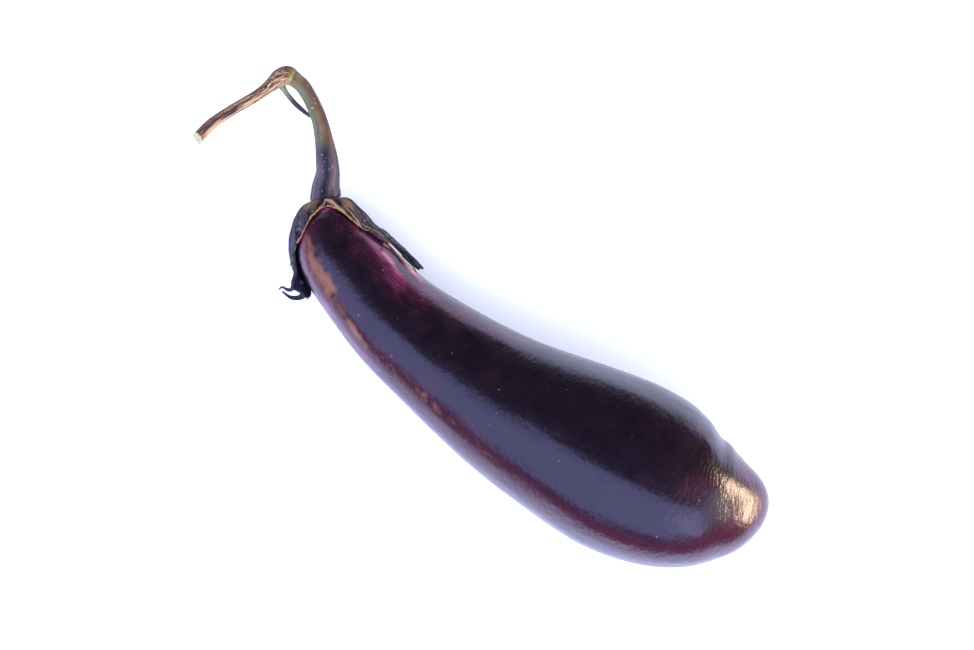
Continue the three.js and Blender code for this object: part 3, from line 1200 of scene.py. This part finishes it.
@dataclass
class WoodyStem:
    """The woody stem: a swollen knuckle, fissured bark and a ragged slanting cut."""

    spine: tuple[Place, ...] = (
        (-177.5, 51.8, 25.5), (-180.0, 51.5, 25.6), (-181.8, 49.4, 25.6), (-182.9, 45.6, 25.5),
        (-185.2, 39.2, 25.1), (-189.8, 29.9, 24.2), (-193.8, 20.4, 23.2), (-195.6, 10.8, 22.4),
    )
    stations: tuple[Station, ...] = (
        (2.8, 0), (3.3, 0.9), (3.45, 3), (3.15, 6), (2.5, 10), (2.1, 14), (1.95, 27), (2.15, 45.6),
    )
    cut_slant: float = -0.25
    cut_lean: float = 0.6  # how much earlier the cut meets the upper side
    cut_reach: float = 4.0
    bared_reach: float = 1.2  # bark torn back from the cut
    bare_enough: float = 0.9  # a face is wood where all its corners are this bare
    columns: int = 112
    wall_rows: int = 330
    cap_rings: int = 7
    bark_rise: float = 0.1
    fissure_depth: float = 0.3
    fissure_size: float = 0.6
    fissure_stretch: float = 0.14
    fissure_narrow: float = 4.0
    chip: float = 0.7
    chip_size: float = 1.2
    chip_narrow: float = 3.0
    chip_reach: float = 0.6
    pith_depth: float = 0.3
    pith_radius: float = 1.2
    ring_at: float = 0.9
    ring_tint: float = 0.65

    def build(self) -> bpy.types.Object:
        """Grows the stem, splits its bark and dresses it."""
        axis = Axis(self.spine)
        wall = Outline(self.stations).wall(self.wall_rows)
        rows = capped(wall, rings=self.cap_rings)
        cut_at = wall[-1, 1]
        body = Body("deep", "side", "ring", "cut")
        verts, row, angle = body.roll(self.columns, len(rows) - 1)
        radius, along = read_rows(rows, row)
        on_end = smoothstep(row, len(rows) - self.cap_rings - 1.5, len(rows) - self.cap_rings)
        lean = smoothstep(along, cut_at - self.cut_reach, cut_at)
        shifted = along + self.cut_slant * radius * np.sin(angle) * lean
        shifted = shifted - self.cut_lean * (radius * np.cos(angle) + wall[-1, 0]) * lean
        straight = unbent(radius, angle, along * self.fissure_stretch)
        ridged = 1 - np.abs(fractal(straight, self.fissure_size, 2, 7.0)) * self.fissure_narrow
        upper = 0.5 + 0.5 * np.sin(angle)
        deep = smoothstep(ridged, 0.3, 0.8) * (0.35 + 0.65 * smoothstep(upper, 0.15, 0.7))
        on_wall = smoothstep(radius, 1.0, 1.8) * (1 - on_end)
        grown = radius + (self.bark_rise - self.fissure_depth * deep) * on_wall
        splinters = unbent(radius * self.chip_narrow, angle, along * 0)
        chips = fractal(splinters, self.chip_size, 3, 11.0)
        near_cut = smoothstep(along, cut_at - self.chip_reach, cut_at)
        hollow = self.pith_depth * on_end * bell(radius, 0.0, self.pith_radius)
        shifted = shifted + self.chip * chips * near_cut - hollow
        body.shape(verts, axis.place(shifted, np.maximum(grown, 0.0), angle))
        body.lay_grain(verts, along, angle, radius)
        body.mark(verts, "deep", deep * on_wall)
        body.mark(verts, "side", upper)
        body.mark(verts, "ring", bell(along, self.ring_at, self.ring_at) * self.ring_tint)
        bare_from = cut_at - self.bared_reach
        bared = smoothstep(along + 0.9 * chips, bare_from, bare_from + 0.3)
        body.mark(verts, "cut", np.maximum(on_end, bared))
        cut = body.bm.verts.layers.float["cut"]
        for face in body.bm.faces:
            face.material_index = int(min(v[cut] for v in face.verts) > self.bare_enough)
        materials = [StemBark().make(), CutWood().make()]
        return body.finish("stem_bark_and_cut", materials, Slot.STEM_BARK, "woody_stem")


@dataclass
class SideStalk:
    """The spent flower stalk that leaves the knuckle and hangs under the fruit stalk."""

    spine: tuple[Place, ...] = (
        (-179.0, 46.8, 24.0), (-175.8, 45.5, 22.2), (-171.1, 44.3, 20.6), (-166.2, 43.9, 18.6),
        (-163.4, 44.1, 17.2),
    )
    stations: tuple[Station, ...] = (
        (1.35, 0), (0.98, 2.2), (0.95, 9), (0.7, 14.6),
    )
    sink: float = 2.2  # how far the root goes into the knuckle
    tuck: float = 1.6  # and the far end under the fruit stalk
    columns: int = 32
    wall_rows: int = 80
    shrivel: float = 0.14
    shrivel_size: float = 0.7
    shrivel_stretch: float = 0.2

    def build(self) -> bpy.types.Object:
        """Grows the stalk and dresses it."""
        axis = Axis(self.spine)
        wall = Outline(self.stations).wall(self.wall_rows)
        wall[0, 1] -= self.sink
        wall[-1, 1] += self.tuck
        rows = capped(wall)
        body = Body()
        verts, row, angle = body.roll(self.columns, len(rows) - 1)
        radius, along = read_rows(rows, row)
        straight = unbent(radius, angle, along * self.shrivel_stretch)
        shrivel = self.shrivel * fractal(straight, self.shrivel_size, 3, 13.0)
        shrivel = shrivel * smoothstep(radius, 0.3, 0.7)
        body.shape(verts, axis.place(along, np.maximum(radius + shrivel, 0.0), angle))
        body.lay_grain(verts, along, angle, radius)
        return body.finish("flower_stalk", [DryStalkSkin().make()], Slot.DRY_STALK, "side_stalk")


# ---- studio ----
@dataclass(frozen=True)
class SoftBox:
    """A rectangular soft light that faces the fruit from a direction."""

    name: str
    azimuth: float  # degrees from +X towards +Y
    zenith: float
    away: float
    width: float
    height: float
    glow: tuple[float, float, float]

    def hang(self, target: Vector) -> None:
        """Makes the light and aims it at the target."""
        a, z = math.radians(self.azimuth), math.radians(self.zenith)
        back = Vector((math.sin(z) * math.cos(a), math.sin(z) * math.sin(a), math.cos(z)))
        light = bpy.data.lights.new(self.name, "AREA")
        light.shape = "RECTANGLE"
        light.size, light.size_y = self.width, self.height
        peak = max(self.glow)
        light.color = [c / peak for c in self.glow]
        light.energy = 4.0 * peak * self.width * self.height
        lamp = bpy.data.objects.new(self.name, light)
        lamp.location = target + back * self.away
        lamp.rotation_euler = back.to_track_quat("Z", "Y").to_euler()
        bpy.context.scene.collection.objects.link(lamp)


@dataclass
class Studio:
    """Pale table, soft lights and a camera that looks straight down."""

    target: Place = (-0.02, 0.0, 0.035)
    floor_middle: Place = (-0.0663, 0.0158, 0.0)
    floor_radius: float = 0.245
    card_white: float = 0.9
    card_rough: float = 0.9
    sky: tuple[float, float, float] = (1.38, 1.52, 1.92)
    camera_at: Place = (-0.0663, 0.0158, 0.883)
    camera_turn: float = 33.93
    lens: float = 85.0
    sensor: float = 36.0
    lights: tuple[SoftBox, ...] = (
        SoftBox("window", -84.0, 43.0, 0.9, 2.8, 1.08, (1.25, 1.38, 2.9)),
        SoftBox("warm_lamp", 26.0, 91.0, 0.6, 0.42, 0.13, (26.0, 19.0, 13.0)),
        SoftBox("far_wall", 0.0, 62.0, 0.8, 0.9, 0.4, (1.3, 1.15, 1.9)),
    )

    def set_table(self) -> None:
        """Lays the pale table."""
        bm = bmesh.new()
        bmesh.ops.create_circle(bm, cap_ends=True, segments=128, radius=self.floor_radius)
        bmesh.ops.translate(bm, vec=self.floor_middle, verts=bm.verts[:])
        mesh = bpy.data.meshes.new("table")
        bm.to_mesh(mesh)
        bm.free()
        table = bpy.data.objects.new("table", mesh)
        bpy.context.scene.collection.objects.link(table)
        sheet = NodeSheet("Matt white card")
        white = (self.card_white, self.card_white, self.card_white, 1.0)
        card = {"Base Color": white, "Roughness": self.card_rough}
        sheet.add("OutputMaterial", None, {"Surface": sheet.add("BsdfPrincipled", None, card)})
        mesh.materials.append(sheet.material)

    def set_sky(self) -> None:
        """Fills the room with even light that the gloss doesn't mirror."""
        world = bpy.data.worlds.new("room")
        world.use_nodes = True
        background = world.node_tree.nodes["Background"]
        background.inputs["Color"].default_value = (*self.sky, 1.0)
        background.inputs["Strength"].default_value = 1.0
        bpy.context.scene.world = world
        world.cycles_visibility.glossy = False

    def set_camera(self) -> None:
        """Puts the camera above the fruit, turned so that the fruit lies across the picture."""
        data = bpy.data.cameras.new("camera")
        data.lens, data.sensor_width = self.lens, self.sensor
        camera = bpy.data.objects.new("camera", data)
        camera.location = self.camera_at
        camera.rotation_euler = (0.0, 0.0, math.radians(self.camera_turn))
        bpy.context.scene.collection.objects.link(camera)
        bpy.context.scene.camera = camera

    def build(self) -> None:
        """Sets the table, the lights and the camera."""
        self.set_table()
        self.set_sky()
        for light in self.lights:
            light.hang(Vector(self.target))
        self.set_camera()
        settings = bpy.context.scene.view_settings
        settings.view_transform = "Standard"
        log.info("studio: %d lights", len(self.lights))


def main() -> None:
    """Builds every piece, then the studio."""
    logging.basicConfig(level=logging.INFO, format="%(message)s")
    fruit = Fruit()
    for sub_assembly in (fruit, Calyx(fruit), FruitStalk(), WoodyStem(), SideStalk()):
        sub_assembly.build()
    Studio().build()


if __name__ == "__main__":
    main()
